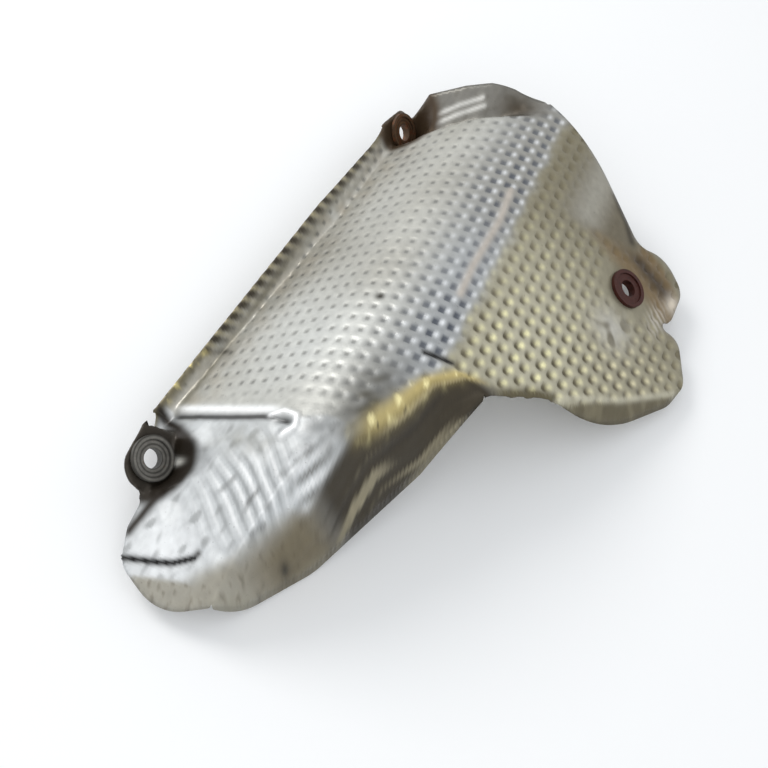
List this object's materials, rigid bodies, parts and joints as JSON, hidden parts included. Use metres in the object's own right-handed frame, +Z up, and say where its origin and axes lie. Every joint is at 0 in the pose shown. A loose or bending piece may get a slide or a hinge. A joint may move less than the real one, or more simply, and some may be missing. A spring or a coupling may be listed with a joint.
{
  "type": "heat shield",
  "caption": "Pressed heat shield of dimpled sheet aluminium with a rounded ridge, a drooping nose, a side wing and bushed ears for its bolts; covers a hot exhaust.",
  "frame": {"origin": "centre of the underside of the bounding box, on the ground the shield lies on", "axes": "+X along the ridge from the nose to the rear, +Y to the side with the upturned lip, +Z up, with the hollow side down"},
  "size_m": [0.2442, 0.171, 0.0555],
  "materials": {
    "sheet": "embossed, dull and stained by heat",
    "bush": "tarnished, with rust"
  },
  "bodies": {
    "root": {"shield_panel": "sheet", "front_bush": "bush", "rear_bush": "bush", "side_bush": "bush"}
  },
  "joints": []
}
